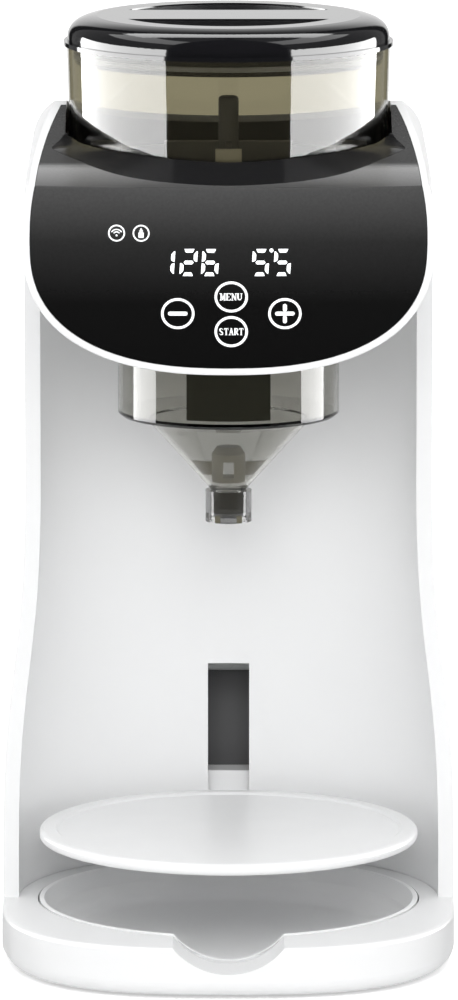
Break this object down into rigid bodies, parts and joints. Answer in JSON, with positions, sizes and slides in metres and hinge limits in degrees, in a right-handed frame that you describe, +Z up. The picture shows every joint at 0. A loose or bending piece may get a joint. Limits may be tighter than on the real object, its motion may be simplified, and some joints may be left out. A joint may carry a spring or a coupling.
{
  "type": "baby formula maker",
  "caption": "Countertop baby formula maker with lift-off powder container, dosing drive, drop-out mixing funnel, sliding bottle plate, drip tray and rear water tank.",
  "frame": {"origin": "middle of the footprint on the surface the machine stands on", "axes": "+Z up; -Y faces the user, on the side of the control panel and bottle bay; +X is to the right seen from the front"},
  "size_m": [0.1904, 0.308, 0.3969],
  "materials": {
    "white_gloss": "gloss",
    "white_satin": "satin",
    "tray_white": "gloss",
    "black_gloss": "high gloss",
    "collar_grey": "gloss",
    "lid_black": "high gloss",
    "smoke_clear": "clear smoke-tinted",
    "smoke_dark": "dark smoke-tinted",
    "tank_clear": "clear grey-tinted",
    "dark_plastic": "fine texture",
    "natural_nylon": "satin",
    "grey_plastic": "satin",
    "seal_rubber": "matte",
    "foot_rubber": "matte",
    "hose_silicone": "translucent satin",
    "steel": "ground",
    "motor_steel": "drawn can",
    "heater_metal": "die cast",
    "board_green": "solder mask",
    "component_black": "moulded",
    "display_white": "lit segments"
  },
  "bodies": {
    "housing": {"base_shell": "white_gloss", "bottom_plate": "grey_plastic", "rubber_feet": "foot_rubber", "main_shell": "white_gloss", "niche_panel": "white_satin", "back_cover": "white_satin", "housing_screws": "steel", "front_fascia": "black_gloss", "well_collar": "collar_grey", "container_well": "dark_plastic", "shaft_bush": "natural_nylon", "funnel_socket": "dark_plastic", "gear_motor": "motor_steel", "motor_bracket": "grey_plastic", "guide_rods": "steel", "rod_clamp": "grey_plastic", "tank_dock": "white_gloss", "dock_cup": "white_gloss", "dock_seal": "seal_rubber", "water_pump": "component_black", "water_heater": "heater_metal", "temperature_sensor": "steel", "suction_hose": "hose_silicone", "delivery_hose": "hose_silicone", "brew_hose": "hose_silicone", "water_spout": "natural_nylon", "inner_frame": "grey_plastic", "main_board": "board_green", "board_components": "component_black", "display_board": "board_green", "digit_display": "display_white", "touch_springs": "steel", "power_inlet": "component_black", "switch_case": "component_black"},
    "drip_tray": {"drip_tray": "tray_white"},
    "container": {"powder_container": "smoke_clear", "container_floor": "natural_nylon", "powder_leveller": "natural_nylon"},
    "dosing_wheel": {"dosing_wheel": "grey_plastic", "stirrer": "grey_plastic"},
    "lid": {"container_lid": "lid_black", "lid_seal": "seal_rubber"},
    "drive": {"drive_gear": "natural_nylon", "drive_shaft": "steel"},
    "idler": {"idler_gear": "natural_nylon"},
    "pinion": {"motor_pinion": "steel"},
    "funnel": {"mixing_funnel": "smoke_clear", "nozzle_tip": "smoke_dark", "mixing_insert": "natural_nylon"},
    "plate": {"bottle_plate": "white_gloss", "plate_carriage": "white_satin", "carriage_bushes": "natural_nylon"},
    "tank": {"water_tank": "tank_clear", "valve_cage": "natural_nylon", "lid_pins": "steel"},
    "valve": {"tank_valve": "natural_nylon", "valve_spring": "steel"},
    "float": {"level_float": "white_satin"},
    "tank_lid": {"tank_lid": "lid_black"},
    "rocker": {"rocker_switch": "component_black"}
  },
  "joints": [
    {"name": "tray_lift", "type": "slide", "parent": "housing", "child": "drip_tray", "axis": [0, 0, 1], "range_m": [0, 0.018]},
    {"name": "plate_height", "type": "slide", "parent": "housing", "child": "plate", "axis": [0, 0, 1], "range_m": [-0.014, 0.058]},
    {"name": "container_lift", "type": "slide", "parent": "housing", "child": "container", "axis": [0, 0, 1], "range_m": [0, 0.11]},
    {"name": "lid_lift", "type": "slide", "parent": "container", "child": "lid", "axis": [0, 0, 1], "range_m": [0, 0.06]},
    {"name": "dose_spin", "type": "hinge", "parent": "container", "child": "dosing_wheel", "pos_m": [0, -0.051, 0.31], "axis": [0, 0, 1], "continuous": true},
    {"name": "drive_spin", "type": "hinge", "parent": "housing", "child": "drive", "pos_m": [0, -0.051, 0.286], "axis": [0, 0, 1], "continuous": true},
    {"name": "idler_spin", "type": "hinge", "parent": "housing", "child": "idler", "pos_m": [0, -0.002, 0.286], "axis": [0, 0, 1], "continuous": true},
    {"name": "pinion_spin", "type": "hinge", "parent": "housing", "child": "pinion", "pos_m": [0, 0.037, 0.286], "axis": [0, 0, 1], "continuous": true},
    {"name": "funnel_drop", "type": "slide", "parent": "housing", "child": "funnel", "axis": [0, 0, -1], "range_m": [0, 0.06]},
    {"name": "tank_lift", "type": "slide", "parent": "housing", "child": "tank", "axis": [0, 0, 1], "range_m": [0, 0.08]},
    {"name": "valve_open", "type": "slide", "parent": "tank", "child": "valve", "axis": [0, 0, 1], "range_m": [0, 0.002], "stiffness_N_per_m": 150, "springref_m": -0.001, "deforming": ["valve_spring"]},
    {"name": "float_rise", "type": "slide", "parent": "tank", "child": "float", "axis": [0, 0, 1], "range_m": [0, 0.03]},
    {"name": "tank_lid_hinge", "type": "hinge", "parent": "tank", "child": "tank_lid", "pos_m": [0, 0.099, 0.3152], "axis": [1, 0, 0], "range_deg": [0, 85]},
    {"name": "power_rocker", "type": "hinge", "parent": "housing", "child": "rocker", "pos_m": [0.018, 0.1494, 0.0335], "axis": [0, 0, 1], "range_deg": [0, 10]}
  ],
  "couplings": [
    {"joint": "drive_spin", "follows": "dose_spin", "ratio": 1},
    {"joint": "idler_spin", "follows": "dose_spin", "ratio": -0.68966},
    {"joint": "pinion_spin", "follows": "dose_spin", "ratio": 2}
  ]
}
